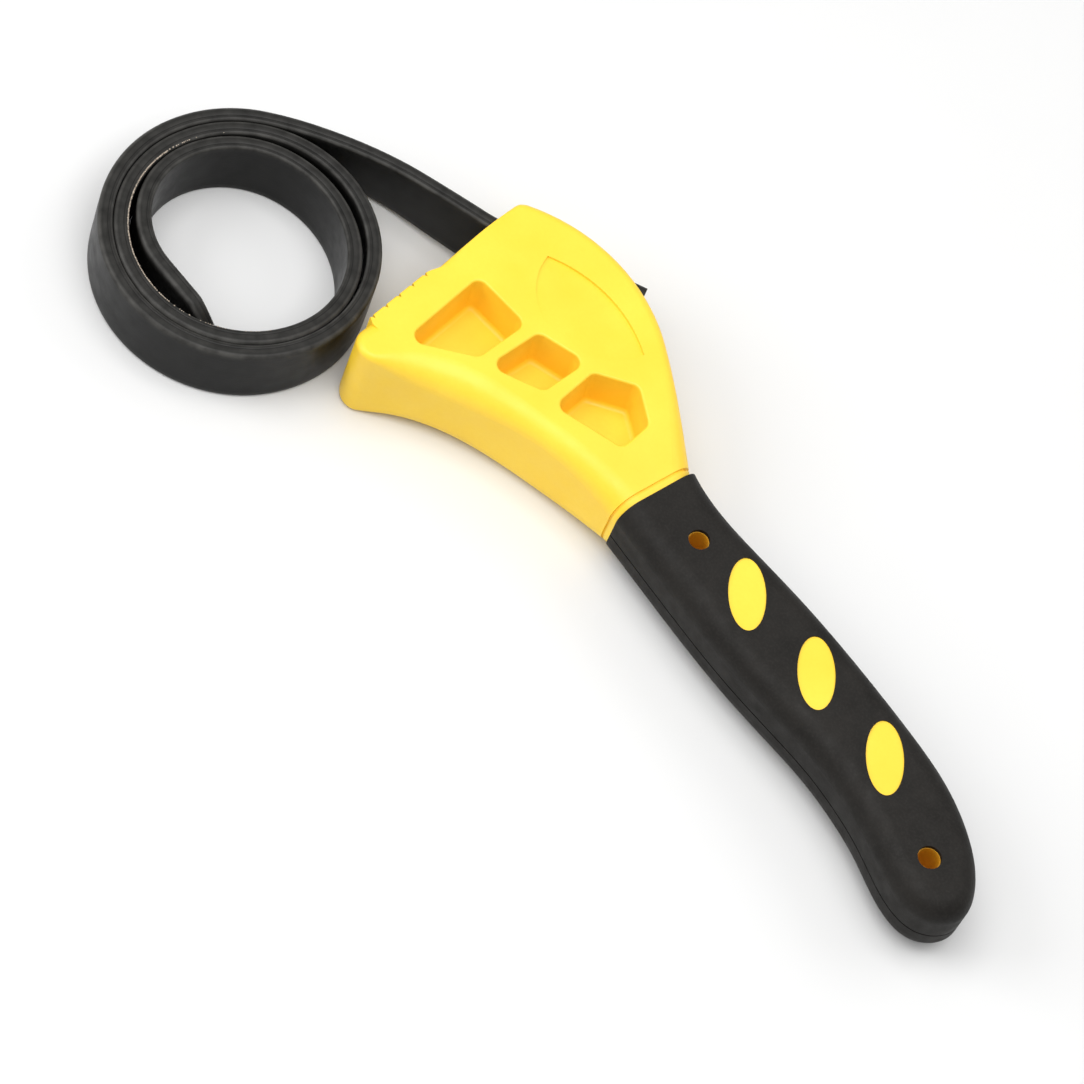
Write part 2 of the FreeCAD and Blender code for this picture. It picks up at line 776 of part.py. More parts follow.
def window_sketch(body, name, recess):
    """The three leaning ovals, at or above the grip's lower face."""
    shift = "(Sizes.head_thickness - Sizes.grip_thickness) / 2 + " + recess
    sketch = new_sketch(body, name, shift=shift)
    for place in ("one", "two", "three"):
        centre = at(size("window_%s_x" % place), size("window_%s_y" % place))
        end = polar(centre, size("window_length") / 2, size("window_lean"))
        side = polar(centre, size("window_width") / 2, size("window_lean") + 90)
        sketch.addGeometry(Part.Ellipse(end, side, centre), False)
    return sketch


def handle_body():
    """Head, neck, collar and tang: one moulding."""
    blank = head_blank()
    rounded = head_rounded(blank)
    body = new_body("handle_body")
    body.BaseFeature = rounded
    document.recompute()
    cut_lanes(body)
    cut_pockets(body)
    jaw_teeth(body)
    cut_leaf(body)
    collar_groove(body)
    tang(body)
    pin_hole(body, "pin_bore", "Sizes.pin_length + Sizes.pin_bore_overrun")
    return body


# ---------------------------------------------------------------- grip

def grip_sleeve():
    """The soft grip moulded over the tang, open at the three ovals and two support holes."""
    body = new_body("grip_sleeve")
    sketch = new_sketch(body, "grip_plan", shift="(Sizes.head_thickness - Sizes.grip_thickness) / 2")
    points = [at(x, y) for x, y in GRIP_BACK + (GRIP_BUTT,) + GRIP_FRONT]
    curve = Part.BSplineCurve()
    curve.interpolate(points)
    sketch.addGeometry(curve, False)
    sketch.addGeometry(Part.LineSegment(points[-1], points[0]), False)
    sketch.addConstraint(Sketcher.Constraint("Coincident", 0, 2, 1, 1))
    sketch.addConstraint(Sketcher.Constraint("Coincident", 1, 2, 0, 1))
    pad(body, sketch, "Sizes.grip_thickness")

    def on_the_outline(edge):
        return edge.Curve.TypeId == "Part::GeomBSplineCurve"

    fillet(body, "Sizes.grip_rounding", on_the_outline, "grip_edges")
    pocket(body, tang_sketch(body, "cavity"), "Sizes.tang_thickness", upwards=True)
    windows = window_sketch(body, "windows", "0")
    pocket(body, windows, "Sizes.grip_thickness", upwards=True)
    bosses = hole_sketch(body, "boss_cavities", "Sizes.boss_cover", size("boss_wall"))
    pocket(body, bosses, "Sizes.grip_thickness - 2 * Sizes.boss_cover", upwards=True)
    pocket(body, hole_sketch(body, "support_holes", "0", 0.0), "Sizes.grip_thickness", upwards=True)
    parting_line(body, points)
    return body


def parting_line(body, points):
    """A fine groove round the grip's outline, open at the neck."""
    depth = size("parting_line_depth")
    inner = []
    for number, point in enumerate(points):
        ahead = points[min(number + 1, len(points) - 1)] - points[max(number - 1, 0)]
        inner.append(point + at(ahead.y, -ahead.x).normalize() * depth)
    neck, clear = inner[0].x - size("tang_overlap"), size("head_thickness")
    sketch = new_sketch(body, "parting_line", shift="Sizes.parting_line_z - Sizes.parting_line_width / 2")
    curve = Part.BSplineCurve()
    curve.interpolate(inner)
    draw(sketch, [
        (curve, 1, 2),
        line(inner[-1], at(neck, inner[-1].y)),
        line(at(neck, inner[-1].y), at(neck, -clear)),
        line(at(neck, -clear), at(size("tang_end_x") + clear, -clear)),
        line(at(size("tang_end_x") + clear, -clear), at(size("tang_end_x") + clear, clear)),
        line(at(size("tang_end_x") + clear, clear), at(neck, clear)),
        line(at(neck, clear), at(neck, inner[0].y)),
        line(at(neck, inner[0].y), inner[0]),
    ])
    pocket(body, sketch, "Sizes.parting_line_width", upwards=True)


# ---------------------------------------------------------------- strap

def ply_depths():
    """The three plies as depths below the strap's outer face."""
    thickness = size("strap_thickness")
    inner = thickness - size("inner_ply")
    outer = inner - size("cord_ply")
    return {
        "outer_rubber": (0.0, outer),
        "cord_ply": (outer, inner),
        "inner_rubber": (inner, thickness),
    }


def slope_down(body, name, coil_x):
    """Slope the run's two edges down from the head's lane to the coil's level at coil_x."""
    lift, width, waste = size("strap_lift"), size("strap_width"), size("cut_beyond")
    head_x = size("mouth_x")
    sketch = new_sketch(body, name, plane="XZ_Plane", shift="-3 * Sizes.head_thickness")
    draw(sketch, polygon([
        at(coil_x, width),
        at(head_x, width + lift),
        at(head_x, width + waste),
        at(coil_x, width + waste),
    ]))
    draw(sketch, polygon([at(coil_x, 0), at(coil_x, -waste), at(head_x, -waste), at(head_x, lift)]))
    pocket(body, sketch, "6 * Sizes.head_thickness", upwards=True)


def strap_ply(length_name, stretches, ply, depths):
    """One ply of one length of the strap."""
    body = new_body("strap_%s_%s" % (length_name, ply))
    lift = "Sizes.strap_lift" if length_name == "root" else "0"
    sketch = new_sketch(body, "%s_%s" % (length_name, ply), shift=lift)
    draw(sketch, ribbon(stretches, *depths))
    if length_name == "run":
        pad(body, sketch, "Sizes.strap_width + Sizes.strap_lift")
        end_of_run = face(stretches[-1], 0)[2]
        slope_down(body, "run_slopes_" + ply, end_of_run.x)
    else:
        pad(body, sketch, "Sizes.strap_width")
    if length_name == "root":
        pin_hole(body, "pin_hole_" + ply, "Sizes.pin_length")
    return body


def anchor_pin():
    """The steel pin, pressed through the head's back wall, that holds the strap's end."""
    pin = document.addObject("Part::Cylinder", "anchor_pin")
    pin.Label = "anchor_pin"
    pin.setExpression("Radius", "Sizes.pin_radius")
    pin.setExpression("Height", "Sizes.pin_length")
    pin.Placement = pin_placement()
    return pin


# ---------------------------------------------------------------- all parts

parts = [handle_body(), grip_sleeve(), anchor_pin()]
for length_name, stretches in strap_lengths().items():
    for ply, depths in ply_depths().items():
        parts.append(strap_ply(length_name, stretches, ply, depths))
document.recompute()

for item in document.Objects:
    if "Invalid" in item.State or "Error" in item.State:
        raise ValueError("%s failed: %s" % (item.Label, item.State))
for part in parts:
    if part.Shape.isNull() or not part.Shape.isValid():
        raise ValueError(part.Label + " has no valid shape")

os.makedirs("parts", exist_ok=True)
for part in parts:
    part.Shape.exportStep("parts/%s.step" % part.Label)
    print("%-28s %2d solid  %9.1f mm3" % (part.Label, len(part.Shape.Solids), part.Shape.Volume))
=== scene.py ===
import math
import random

import bpy
from mathutils import Matrix, Vector


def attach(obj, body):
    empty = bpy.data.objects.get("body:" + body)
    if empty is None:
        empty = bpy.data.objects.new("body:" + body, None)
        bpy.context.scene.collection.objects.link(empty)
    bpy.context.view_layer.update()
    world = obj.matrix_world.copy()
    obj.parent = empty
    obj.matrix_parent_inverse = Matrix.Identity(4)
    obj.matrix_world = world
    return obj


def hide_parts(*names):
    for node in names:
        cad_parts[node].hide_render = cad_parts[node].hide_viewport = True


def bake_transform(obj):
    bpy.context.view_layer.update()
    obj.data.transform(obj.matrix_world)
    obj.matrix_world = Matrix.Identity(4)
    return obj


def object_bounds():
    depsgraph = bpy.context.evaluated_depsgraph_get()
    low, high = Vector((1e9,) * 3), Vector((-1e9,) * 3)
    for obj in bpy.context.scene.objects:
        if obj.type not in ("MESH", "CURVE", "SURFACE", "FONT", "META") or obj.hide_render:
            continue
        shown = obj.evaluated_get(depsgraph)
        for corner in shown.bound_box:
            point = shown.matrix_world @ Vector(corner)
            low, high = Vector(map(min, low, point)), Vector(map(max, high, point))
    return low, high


# Rubber strap oil filter wrench: a yellow head with a black grip, and a black strap in a coil.
# Lengths below are in millimetres and are turned into metres where a mesh is made.

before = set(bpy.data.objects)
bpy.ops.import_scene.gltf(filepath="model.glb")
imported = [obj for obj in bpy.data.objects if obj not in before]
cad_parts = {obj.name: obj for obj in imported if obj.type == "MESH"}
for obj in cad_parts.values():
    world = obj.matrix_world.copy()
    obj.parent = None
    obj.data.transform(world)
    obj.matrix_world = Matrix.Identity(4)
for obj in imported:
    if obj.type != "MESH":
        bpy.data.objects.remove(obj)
cad_low, cad_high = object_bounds()
MM = 0.001


# ---------------------------------------------------------------- camera and light

TARGET = (0.05405, -0.02538, 0.0)       # the camera looks at this point, in metres
CAMERA_SIDE = (32.0, 59.33)             # azimuth and elevation it stands at, in degrees
CAMERA_ROLL = -24.97
CAMERA_DISTANCE = 1.3985
FOCAL_LENGTH, SENSOR_WIDTH = 166.05, 36.0
NEAREST_SEEN = 0.05

WORLD_STRENGTH = 0.46
# azimuth and elevation in degrees, distance, width and height in metres, power in watts
SOFTBOXES = {
    "overhead": (20.0, 84.0, 1.1, 1.1, 0.9, 11.0),
    "left": (-42.0, 34.0, 1.2, 0.7, 0.7, 5.8),
    "behind": (160.0, 42.0, 1.3, 0.9, 0.5, 2.4),
}


def aim(thing, place, back, roll=0.0):
    """Put a camera or lamp at a place, looking away from its back direction."""
    back = back.normalized()
    level = Vector((0, 0, 1)).cross(back).normalized()
    upright = back.cross(level)
    right = level * math.cos(roll) - upright * math.sin(roll)
    up = level * math.sin(roll) + upright * math.cos(roll)
    thing.matrix_world = Matrix.Translation(place) @ Matrix((right, up, back)).transposed().to_4x4()


def direction(azimuth, elevation):
    """Unit vector from the object towards a viewer at an azimuth and elevation, in degrees."""
    turn, tilt = math.radians(azimuth), math.radians(elevation)
    flat = math.cos(tilt)
    return Vector((math.sin(turn) * flat, -math.cos(turn) * flat, math.sin(tilt)))


def place_camera():
    """The camera that frames the wrench from above its front."""
    lens = bpy.data.cameras.new("camera")
    lens.lens = FOCAL_LENGTH
    lens.sensor_width = SENSOR_WIDTH
    lens.clip_start = NEAREST_SEEN
    camera = bpy.data.objects.new("camera", lens)
    bpy.context.scene.collection.objects.link(camera)
    back = direction(*CAMERA_SIDE)
    aim(camera, Vector(TARGET) + back * CAMERA_DISTANCE, back, math.radians(CAMERA_ROLL))
    bpy.context.scene.camera = camera


def softbox(name, azimuth, elevation, distance, width, height, power):
    """A rectangular soft light that faces the middle of the object."""
    lamp = bpy.data.lights.new(name, "AREA")
    lamp.shape = "RECTANGLE"
    lamp.size = width
    lamp.size_y = height
    lamp.energy = power
    light = bpy.data.objects.new(name, lamp)
    bpy.context.scene.collection.objects.link(light)
    back = direction(azimuth, elevation)
    middle = (cad_low + cad_high) / 2
    aim(light, middle + back * distance, back)


def surroundings():
    """An even white world and three soft lights."""
    world = bpy.data.worlds.new("studio")
    world.use_nodes = True
    background = world.node_tree.nodes["Background"]
    background.inputs["Color"].default_value = (1.0, 1.0, 1.0, 1.0)
    background.inputs["Strength"].default_value = WORLD_STRENGTH
    bpy.context.scene.world = world
    bpy.context.scene.view_settings.view_transform = "Standard"
    for name, settings in SOFTBOXES.items():
        softbox(name, *settings)


# ---------------------------------------------------------------- materials

# The two holes in the grip's upper and lower faces: middle x, middle y and radius.
SUPPORT_HOLES = ((84.0, 0.4, 3.1), (193.6, -2.2, 3.4))
HOLE_RIM = 0.2                          # the painted shade in the holes fades out over this distance

class Shader:
    """A new material with a Principled shader, and short ways to add procedural detail."""

    def __init__(self, name, **constants):
        self.material = bpy.data.materials.new(name)
        self.material.use_nodes = True
        self.tree = self.material.node_tree
        self.main = self.tree.nodes["Principled BSDF"]
        for socket, value in constants.items():
            self.main.inputs[socket.replace("_", " ")].default_value = value

    def node(self, kind, **settings):
        made = self.tree.nodes.new("ShaderNode" + kind)
        for key, value in settings.items():
            setattr(made, key, value)
        return made

    def link(self, source, target):
        self.tree.links.new(source, target)

    def place(self, output="Object", stretch=(1, 1, 1), shift=(0, 0, 0)):
        """Texture coordinates, stretched and then shifted."""
        mapping = self.node("Mapping")
        mapping.inputs["Scale"].default_value = stretch
        mapping.inputs["Location"].default_value = shift
        self.link(self.node("TexCoord").outputs[output], mapping.inputs["Vector"])
        return mapping.outputs["Vector"]

    def noise(self, where, scale, detail=2.0, roughness=0.5):
        noise = self.node("TexNoise")
        noise.inputs["Scale"].default_value = scale
        noise.inputs["Detail"].default_value = detail
        noise.inputs["Roughness"].default_value = roughness
        self.link(where, noise.inputs["Vector"])
        return noise.outputs["Fac"]

    def spread(self, source, low, high, start=0.3, end=0.7):
        """Turn a texture's middle range into a range of numbers."""
        span = self.node("MapRange")
        for socket, value in (("From Min", start), ("From Max", end), ("To Min", low), ("To Max", high)):
            span.inputs[socket].default_value = value
        self.link(source, span.inputs["Value"])
        return span.outputs["Result"]

    def blend(self, amount, first, second):
        """Mix two colours, or a colour over the output of another node."""
        mix = self.node("Mix", data_type="RGBA")
        self.link(amount, mix.inputs[0])
        for socket, value in ((mix.inputs[6], first), (mix.inputs[7], second)):
            if isinstance(value, tuple):
                socket.default_value = (*value, 1.0)
            else:
                self.link(value, socket)
        return mix.outputs[2]

    def colour(self, source):
        self.link(source, self.main.inputs["Base Color"])

    def rough(self, source):
        self.link(source, self.main.inputs["Roughness"])

    def bumps(self, *layers):
        """Stack bump maps: each layer is a texture, a strength and a height in metres."""
        normal = None
        for source, strength, height in layers:
            bump = self.node("Bump")
            bump.inputs["Strength"].default_value = strength
            bump.inputs["Distance"].default_value = height
            self.link(source, bump.inputs["Height"])
            if normal:
                self.link(normal, bump.inputs["Normal"])
            normal = bump.outputs["Normal"]
        self.link(normal, self.main.inputs["Normal"])


def head_plastic():
    """Yellow moulded nylon with a fine spark-eroded texture, and darker, browner painted shade in the
    support holes.
    """
    shader = Shader("yellow_nylon", IOR=1.5)
    where = shader.place()
    deep, pale = (0.93, 0.600, 0.030), (0.960, 0.655, 0.046)
    fleck, painted_hole_shade = (0.86, 0.53, 0.020), (0.62, 0.29, 0.010)
    cloud = shader.noise(where, 45.0, 3.0)
    speck = shader.noise(where, 900.0, 2.0)
    base = shader.blend(shader.spread(cloud, 0.0, 1.0), deep, pale)
    base = shader.blend(shader.spread(speck, 0.0, 0.16), base, fleck)
    # painted shade: within each hole the yellow turns dark amber, standing in for the shade deep down in
    # it
    for x, y, radius in SUPPORT_HOLES:
        away = shader.node("VectorMath", operation="LENGTH")
        shader.link(shader.place("Object", (1, 1, 0), (-x * MM, -y * MM, 0)), away.inputs[0])
        hole_shade_mask = shader.spread(away.outputs["Value"], 1.0, 0.0, radius * MM, (radius + HOLE_RIM) * MM)
        base = shader.blend(hole_shade_mask, base, painted_hole_shade)
    shader.colour(base)
    shader.rough(shader.spread(shader.noise(where, 160.0, 4.0), 0.40, 0.54))
    shader.bumps(
        (shader.noise(where, 2600.0, 2.0), 0.25, 0.00006),
        (shader.noise(where, 70.0, 2.0), 0.20, 0.00025),
    )
    return shader.material


def grip_rubber():
    """Black soft grip: matt, a little brown, with a faint mottle."""
    shader = Shader("black_grip", IOR=1.27)
    where = shader.place()
    dark, light = (0.0082, 0.0073, 0.0062), (0.0150, 0.0133, 0.0115)
    dusty = (0.028, 0.025, 0.022)
    mottle = shader.noise(where, 95.0, 4.0, 0.6)
    base = shader.blend(shader.spread(mottle, 0.0, 1.0), dark, light)
    dust = shader.noise(where, 1400.0, 2.0)
    shader.colour(shader.blend(shader.spread(dust, 0.0, 0.30, 0.45, 0.75), base, dusty))
    shader.rough(shader.spread(shader.noise(where, 220.0, 3.0), 0.50, 0.66))
    shader.bumps(
        (shader.noise(where, 1900.0, 3.0), 0.35, 0.00010),
        (shader.noise(where, 120.0, 2.0), 0.15, 0.00025),
    )
    return shader.material


def strap_rubber():
    """Black strap rubber: satin faces with fine lines along the strap, and greyer corners that are
    partly rubbed and partly painted highlight.
    """
    shader = Shader("black_strap", IOR=1.22)
    where = shader.place("UV")
    dark, light = (0.0040, 0.0039, 0.0036), (0.0075, 0.0073, 0.0068)
    scuffed_and_highlit = (0.075, 0.073, 0.068)
    along = (0.04, 1.0, 1.0)
    lines = shader.noise(shader.place("UV", along), 1500.0, 2.0)
    cloud = shader.noise(where, 60.0, 3.0)
    base = shader.blend(shader.spread(cloud, 0.0, 1.0), dark, light)
    # painted highlight: the corners are greyer partly from rubbing and partly to stand in for their
    # highlights
    corner_rub_and_highlight = shader.node("Attribute", attribute_name="corner").outputs["Fac"]
    wear_and_highlight = shader.node("Math", operation="MULTIPLY")
    shader.link(corner_rub_and_highlight, wear_and_highlight.inputs[0])
    shader.link(shader.spread(shader.noise(where, 240.0, 3.0), 0.35, 0.85), wear_and_highlight.inputs[1])
    shader.colour(shader.blend(wear_and_highlight.outputs["Value"], base, scuffed_and_highlit))
    shader.rough(shader.spread(shader.noise(where, 190.0, 3.0), 0.30, 0.42))
    shader.bumps((lines, 0.20, 0.00006), (shader.noise(where, 1700.0, 2.0), 0.20, 0.00006))
    return shader.material


def thread():
    """Cut ends of the strap's cords, off-white and dusty."""
    shader = Shader("cord_thread", IOR=1.45)
    brown, off_white = (0.22, 0.17, 0.13), (0.50, 0.43, 0.35)
    upright = (1.0, 1.0, 0.2)
    fibres = shader.noise(shader.place("Object", upright), 2400.0, 2.0)
    shader.colour(shader.blend(shader.spread(fibres, 0.0, 1.0), brown, off_white))
    shader.rough(shader.spread(fibres, 0.75, 0.95))
    shader.bumps((fibres, 0.4, 0.0001))
    return shader.material


def pin_steel():
    """Drawn steel with a fine grain."""
    shader = Shader("pin_steel", Metallic=1.0)
    dull, bright = (0.46, 0.46, 0.45), (0.60, 0.60, 0.59)
    fine = shader.noise(shader.place(), 800.0, 3.0)
    shader.colour(shader.blend(fine, dull, bright))
    shader.rough(shader.spread(fine, 0.25, 0.42))
    shader.bumps((fine, 0.15, 0.00005))
    return shader.material


def paper():
    """The pale floor."""
    shader = Shader("pale_floor", IOR=1.45)
    grey, white = (0.71, 0.71, 0.71), (0.74, 0.74, 0.735)
    grain = shader.noise(shader.place(), 12.0, 3.0)
    shader.colour(shader.blend(grain, grey, white))
    shader.rough(shader.spread(grain, 0.85, 0.95))
    return shader.material


# ---------------------------------------------------------------- meshes

SHARP_ANGLE = 35.0                      # edges that turn by more, in degrees, are shaded sharp
FLOOR_HALF = 2000.0


def make_piece(name, points, faces, material):
    """A smooth mesh object from points in millimetres, in one of the material slots."""
    mesh = bpy.data.meshes.new(name)
    mesh.from_pydata([tuple(c * MM for c in point) for point in points], [], faces)
    mesh.materials.append(material)
    mesh.polygons.foreach_set("use_smooth", [True] * len(mesh.polygons))
    mesh.set_sharp_from_angle(angle=math.radians(SHARP_ANGLE))
    piece = bpy.data.objects.new(name, mesh)
    bpy.context.scene.collection.objects.link(piece)
    return piece


def floor():
    """The wide flat floor that the wrench lies on."""
    half = FLOOR_HALF
    corners = [(-half, -half, 0), (half, -half, 0), (half, half, 0), (-half, half, 0)]
    plane = make_piece("floor", corners, [(0, 1, 2, 3)], paper())


# ---------------------------------------------------------------- strap

TINY, NEAR = 1e-9, 1e-6


class Route:
    """The strap's outer face seen from above: straight stretches and bends that follow one another."""

    def __init__(self, x, y, heading):
        self.end = (x, y, math.radians(heading))
        self.length = 0.0
        self.stretches = []

    def go(self, length, angle=0.0):
        """Go on by a length while turning left by an angle, in degrees."""
        turn = math.radians(angle)
        self.stretches.append((self.length, length, turn, self.end))
        self.end = self.along(length, length, turn, self.end)
        self.length += length
        return self

    def bend(self, radius, angle):
        """Turn left on a circle of the given radius."""
        return self.go(radius * math.radians(angle), angle)

    @staticmethod
    def along(distance, length, turn, start):
        """(x, y, heading) at a distance along a stretch that turns evenly."""
        x, y, heading = start
        swing = turn * distance / length
        chord = distance if abs(swing) < TINY else 2 * math.sin(swing / 2) * distance / swing
        x += chord * math.cos(heading + swing / 2)
        y += chord * math.sin(heading + swing / 2)
        return x, y, heading + swing

    def at(self, distance):
        """(x, y, heading) at a distance from the route's start."""
        for begin, length, turn, start in self.stretches:
            if distance <= begin + length + NEAR:
                break
        return self.along(min(distance - begin, length), length, turn, start)


STRAP_WIDTH = 22.0
STRAP_THICKNESS = 4.4
CORD_DEPTH = 3.2                # of the cord ply's middle, below the outer face
TAIL = (11.45, 36.87)           # the strap's end behind the head
TAIL_HEADING = 211.9            # in degrees
IN_HEAD = 44.7                  # from the tail to the mouth
MOUTH_LIFT = 4.0                # of the strap's lower edge, in the head
MOUTH_BEND = 3.0                # half the length of the soft bend just outside the mouth
MOUTH_TURN = -10.9
RUN_STRAIGHT = 20.8
RUN_RADIUS = 103.7              # of the run's easy bend into the coil
RUN_TURN, ENTRY_TURN = 18.0, 9.0        # before and after the coil's hinge
FIRST_ARC = (43.175, 42.0)              # radius and angle
HALF_TURN_RADII = (40.9, 38.625, 36.35)
# the innermost half turn is a little flat, so it stands clear of the one around it
FLAT_HALF_TURN = ((31.575, 60.0), (36.575, 60.0), (31.575, 60.0))
TIP_RADIUS = 27.6
TURN_TO_TIP, TIP_TURN = 25.0, 69.0      # before and after the tip's hinge
TIP_STRAIGHT = 14.0
TIP_END = (24.0, 20.0)
TIP_CUT = 8.0                   # the tip's upper corner is cut away over this length
TIP_CUT_SLOPE, TIP_CUT_CURVE = 0.42, 0.06
LEAN = 2.0                      # of the run's lower edge, outwards
STATION_STEP = 1.1              # between sections of the strap's mesh

strap = Route(*TAIL, TAIL_HEADING)
strap.go(IN_HEAD).go(2 * MOUTH_BEND, MOUTH_TURN).go(RUN_STRAIGHT).bend(RUN_RADIUS, RUN_TURN)
coil_start = strap.length
strap.bend(RUN_RADIUS, ENTRY_TURN).bend(*FIRST_ARC)
for radius in HALF_TURN_RADII:
    strap.bend(radius, 180.0)
for radius, angle in FLAT_HALF_TURN:
    strap.bend(radius, angle)
tip_start = strap.bend(TIP_RADIUS, TURN_TO_TIP).length
strap.bend(TIP_RADIUS, TIP_TURN).go(TIP_STRAIGHT).bend(*TIP_END)


def ease(value, start, end):
    """Smoothly from 0 at start to 1 at end."""
    share = min(1.0, max(0.0, (value - start) / (end - start)))
    return share * share * (3 - 2 * share)


def low_edge(distance):
    """Height of the strap's lower edge."""
    return MOUTH_LIFT * (1 - ease(distance, IN_HEAD - 2, coil_start + 2))


def high_edge(distance):
    """Height of the strap's upper edge, with the tip's upper corner cut away."""
    cut = max(0.0, distance - strap.length + TIP_CUT)
    return low_edge(distance) + STRAP_WIDTH - TIP_CUT_SLOPE * cut - TIP_CUT_CURVE * cut ** 2


def lean(distance):
    """How far the lower edge stands outwards of the upper one, between the head and the coil."""
    growth = ease(distance, IN_HEAD + 6, coil_start - 12)
    return LEAN * growth * (1 - ease(distance, coil_start, coil_start + 45))


def strap_profile():
    """Points round the strap's section: depth, share of the height, height beyond it, and how much
    greyer rubbing and painted highlight it gets.
    """
    outer_corner, inner_corner, steps = 1.3, 0.9, 5
    bulge, groove = 0.04, 0.06
    # how much greyer each part of the section is: partly rubbing, partly painted highlight, most on the
    # rounded corners
    least_wear_and_highlight, most_wear_and_highlight, edge_wear_and_highlight, groove_wear_and_highlight = 0.35, 1.0, 0.5, 0.2

    def face(depth, sign, rising):
        """A broad face, faintly swollen in the middle."""
        shares = [0.12, 0.3, 0.5, 0.7, 0.88]
        for share in shares if rising else reversed(shares):
            yield depth + sign * bulge * (1 - (2 * share - 1) ** 2), share, 0.0, 0.0

    def round_corner(radius, depth, first, top):
        """A quarter turn about a point at a depth, greyest in its middle, partly from rubbing and partly
        as painted highlight.
        """
        share = 1 if top else 0
        for step in range(steps + 1):
            angle = math.radians(first + 90 * step / steps)
            offset = radius * (math.sin(angle) - (1 if top else -1))
            wear_and_highlight = least_wear_and_highlight + (most_wear_and_highlight - least_wear_and_highlight) * math.sin(math.pi * step / steps)
            yield depth + radius * math.cos(angle), share, offset, wear_and_highlight

    def edge(top, rising):
        """The cord ply shows as a shallow line in the strap's edges."""
        share, sign = (1, -1) if top else (0, 1)
        line = [
            (2.0, 0),
            (CORD_DEPTH - 0.5, 0),
            (CORD_DEPTH - 0.4, 1),
            (CORD_DEPTH - 0.2, 1),
            (CORD_DEPTH - 0.1, 0),
        ]
        for depth, cut in line if rising else reversed(line):
            yield depth, share, sign * groove * cut, groove_wear_and_highlight if cut else edge_wear_and_highlight

    ring = []
    ring += round_corner(outer_corner, outer_corner, 180, False)
    ring += edge(False, True)
    ring += round_corner(inner_corner, STRAP_THICKNESS - inner_corner, 270, False)
    ring += face(STRAP_THICKNESS, 1, True)
    ring += round_corner(inner_corner, STRAP_THICKNESS - inner_corner, 0, True)
    ring += edge(True, False)
    ring += round_corner(outer_corner, outer_corner, 90, True)
    ring += face(0.0, -1, False)
    return ring


def strap_point(distance, depth, share, offset):
    """A point of the strap: its place along, below the outer face, and up its width."""
    x, y, heading = strap.at(distance)
    low, high = low_edge(distance), high_edge(distance)
    depth -= lean(distance) * (1 - share)
    height = low + share * (high - low) + offset
    return x - math.sin(heading) * depth, y + math.cos(heading) * depth, height


def strap_length(name, first, last, material, stands_for):
    """A closed length of the strap between two distances along it."""
    ring = strap_profile()
    count = max(2, round((last - first) / STATION_STEP))
    stations = [first + (last - first) * number / count for number in range(count + 1)]
    points, wears_and_highlights, around = [], [], [0.0]
    flat = [(depth, share * STRAP_WIDTH + offset) for depth, share, offset, _ in ring]
    for here, there in zip(flat, flat[1:] + flat[:1]):
        around.append(around[-1] + math.dist(here, there))
    for distance in stations:
        for depth, share, offset, wear_and_highlight in ring:
            points.append(strap_point(distance, depth, share, offset))
            wears_and_highlights.append(wear_and_highlight)
    size = len(ring)
    faces = []
    for station in range(count):
        for number in range(size):
            after = (number + 1) % size
            low, high = station * size, (station + 1) * size
            faces.append((low + number, low + after, high + after, high + number))
    faces.append(tuple(reversed(range(size))))
    faces.append(tuple(range(count * size, (count + 1) * size)))
    piece = make_piece(name, points, faces, material)
    mesh = piece.data
    mesh.attributes.new("corner", "FLOAT", "POINT").data.foreach_set("value", wears_and_highlights)
    layer = mesh.uv_layers.new(name="along_and_around")
    for polygon in mesh.polygons:
        side = polygon.index < count * size
        number = polygon.index % size
        for order, loop in enumerate(polygon.loop_indices):
            vertex = mesh.loops[loop].vertex_index
            if side:
                u = stations[vertex // size]
                v = around[number + (1 if order in (1, 2) else 0)]
            else:
                u, v = flat[vertex % size]
            layer.data[loop].uv = (u * MM, v * MM)
    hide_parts(*stands_for)
    return piece


def plies(length):
    """The CAD nodes of one length of the strap."""
    return ["strap_%s_%s" % (length, ply) for ply in ("outer_rubber", "cord_ply", "inner_rubber")]


def middle_at(distance):
    """The middle of the strap's thickness, on the floor, in metres."""
    x, y, _ = strap_point(distance, STRAP_THICKNESS / 2, 1.0, 0.0)
    return Vector((x * MM, y * MM, 0.0))


def bend_over(piece, centre, half):
    """Bake a length of the strap's transform into its mesh; the middles at both ends of a stretch about
    a hinge line are worked out but not used.
    """
    middle_at(centre - half)
    middle_at(centre + half)
    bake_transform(piece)


def make_strap():
    """Four closed lengths that abut away from the hinges."""
    rubber = strap_rubber()
    mouth_bend = IN_HEAD + MOUTH_BEND
    in_run = IN_HEAD + 18.0             # where the lengths meet
    in_coil = coil_start + 27.0
    in_tip = tip_start - 10.0
    root = strap_length("strap_root_and_mouth", 0.0, in_run, rubber, plies("root"))
    run = strap_length("strap_run", in_run, in_coil, rubber, plies("run"))
    coil = strap_length("strap_coil", in_coil, in_tip, rubber, plies("coil"))
    tip = strap_length("strap_free_end", in_tip, strap.length, rubber, plies("tip"))
    bend_over(root, mouth_bend, 3.8)
    bend_over(run, coil_start, 7.0)
    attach(coil, "strap_coil")
    bend_over(tip, tip_start, 6.0)


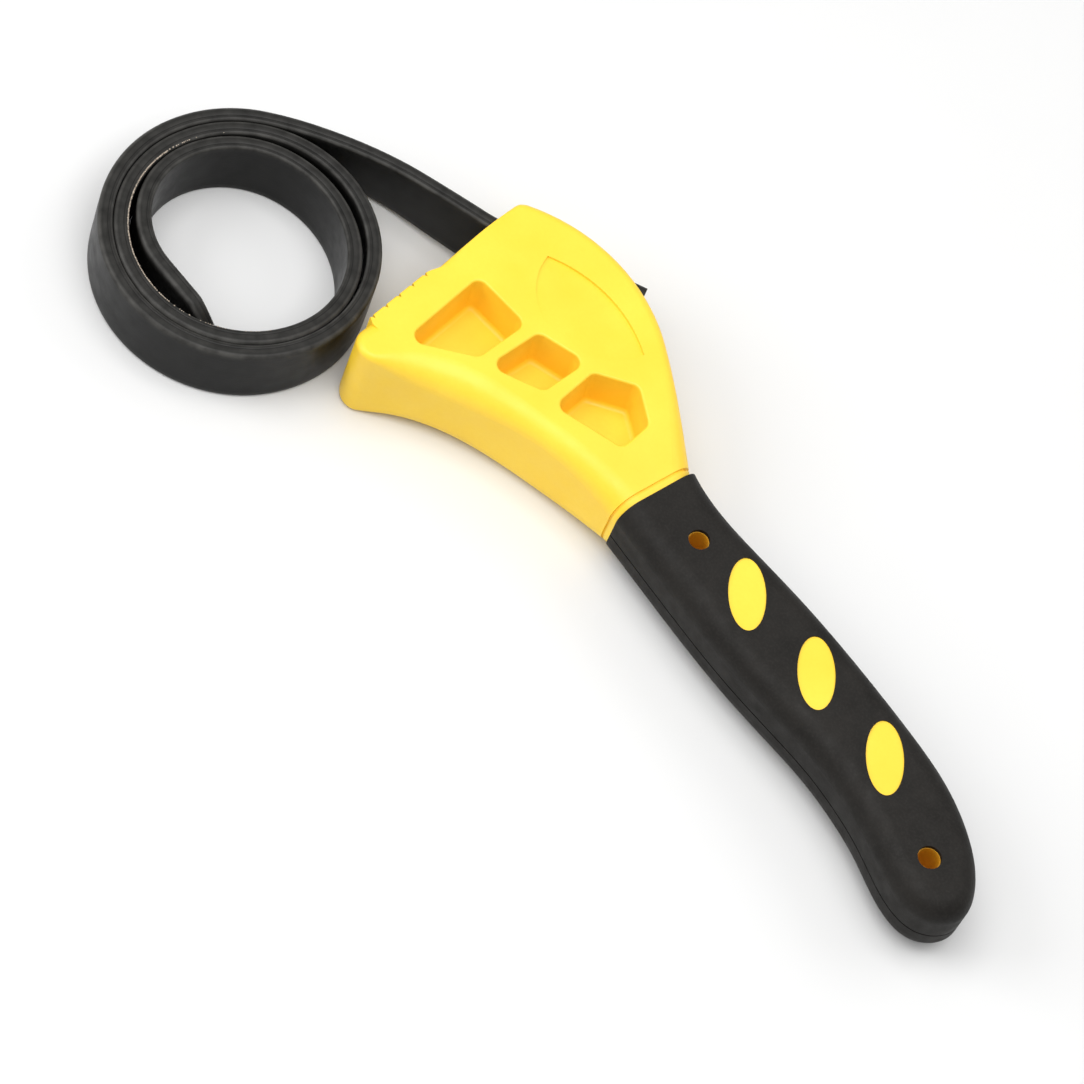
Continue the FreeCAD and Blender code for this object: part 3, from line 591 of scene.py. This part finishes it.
def bead(points, faces, centre, heading, long, radius):
    """Add a small egg-shaped bead, long along a heading, to lists of points and faces."""
    rings, spokes = 4, 6
    base = len(points)
    for ring in range(rings + 1):
        polar = math.pi * ring / rings
        for spoke in range(spokes if 0 < ring < rings else 1):
            turn = 2 * math.pi * spoke / spokes
            along = long * math.cos(polar)
            aside = radius * math.sin(polar) * math.cos(turn)
            points.append((
                centre[0] + along * math.cos(heading) - aside * math.sin(heading),
                centre[1] + along * math.sin(heading) + aside * math.cos(heading),
                centre[2] + radius * math.sin(polar) * math.sin(turn),
            ))
    end = len(points) - 1
    for spoke in range(spokes):
        after = (spoke + 1) % spokes
        faces.append((base, base + 1 + spoke, base + 1 + after))
        for ring in range(rings - 2):
            low = base + 1 + ring * spokes
            faces.append((low + spoke, low + spokes + spoke, low + spokes + after, low + after))
        low = base + 1 + (rings - 2) * spokes
        faces.append((low + spoke, end, low + after))


def thread_ends():
    """Frayed cords that show as pale beads along the upper inner corner of the second turn."""
    chance = random.Random(4)
    points, faces = [], []
    first, last = coil_start + 282.0, coil_start + 402.0
    fade_in, fade_out = 26, 62
    smallest_share, rarest_share = 0.55, 0.35
    from_face, from_top = 0.34, 0.20
    distance = first
    while distance < last:
        fade = ease(distance, first, first + fade_in) * (1 - ease(distance, last - fade_out, last))
        radius = (0.20 + 0.08 * chance.random()) * (smallest_share + (1 - smallest_share) * fade)
        long = radius * (1.1 + 0.5 * chance.random())
        depth = STRAP_THICKNESS - from_face - 0.10 * chance.random()
        centre = strap_point(distance, depth, 1.0, 0.08 * chance.random() - from_top)
        if chance.random() < rarest_share + (1 - rarest_share) * fade:
            bead(points, faces, centre, strap.at(distance)[2], long, radius)
        distance += 0.44 + 0.22 * chance.random() + 0.35 * (1 - fade)
    beads = make_piece("strap_thread_ends", points, faces, thread())
    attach(beads, "strap_coil")


# ---------------------------------------------------------------- finishes of the moulded parts

def finish_node(node, material):
    """Put a material on a CAD node."""
    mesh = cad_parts[node].data
    mesh.materials.clear()
    mesh.materials.append(material)


place_camera()
surroundings()
floor()
finish_node("handle_body", head_plastic())
finish_node("grip_sleeve", grip_rubber())
finish_node("anchor_pin", pin_steel())
make_strap()
thread_ends()
